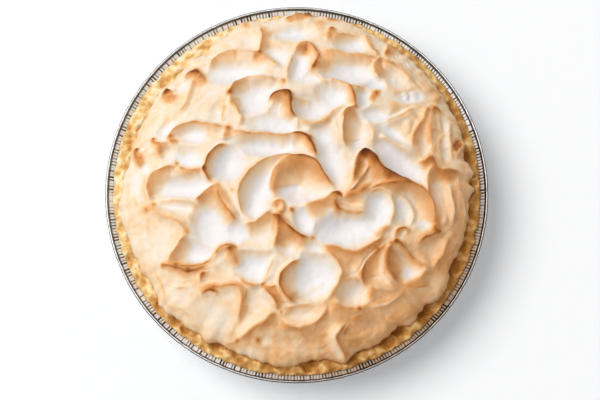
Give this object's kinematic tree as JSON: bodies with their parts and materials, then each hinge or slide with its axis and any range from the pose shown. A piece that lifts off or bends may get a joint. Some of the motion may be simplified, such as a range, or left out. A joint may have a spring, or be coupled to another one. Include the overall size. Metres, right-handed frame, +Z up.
{
  "type": "lemon meringue pie",
  "caption": "Whole round pie in a fluted foil tin with a rolled rim, uneven pastry edge and a domed, toasted meringue top with deep scoops and curled peaks.",
  "frame": {"origin": "middle of the tin's floor, on the surface that the pie stands on", "axes": "+Z up; the front, from which the pie is usually seen, is towards -Y"},
  "size_m": [0.23, 0.23, 0.0679],
  "materials": {
    "foil": "thin pleated foil, bright",
    "pastry": "golden baked shortcrust, crumbly and matt",
    "meringue": "soft baked meringue, white in the hollows, tan to brown on the folds"
  },
  "bodies": {
    "root": {"foil_tin": "foil", "crust": "pastry", "meringue": "meringue"}
  },
  "joints": []
}
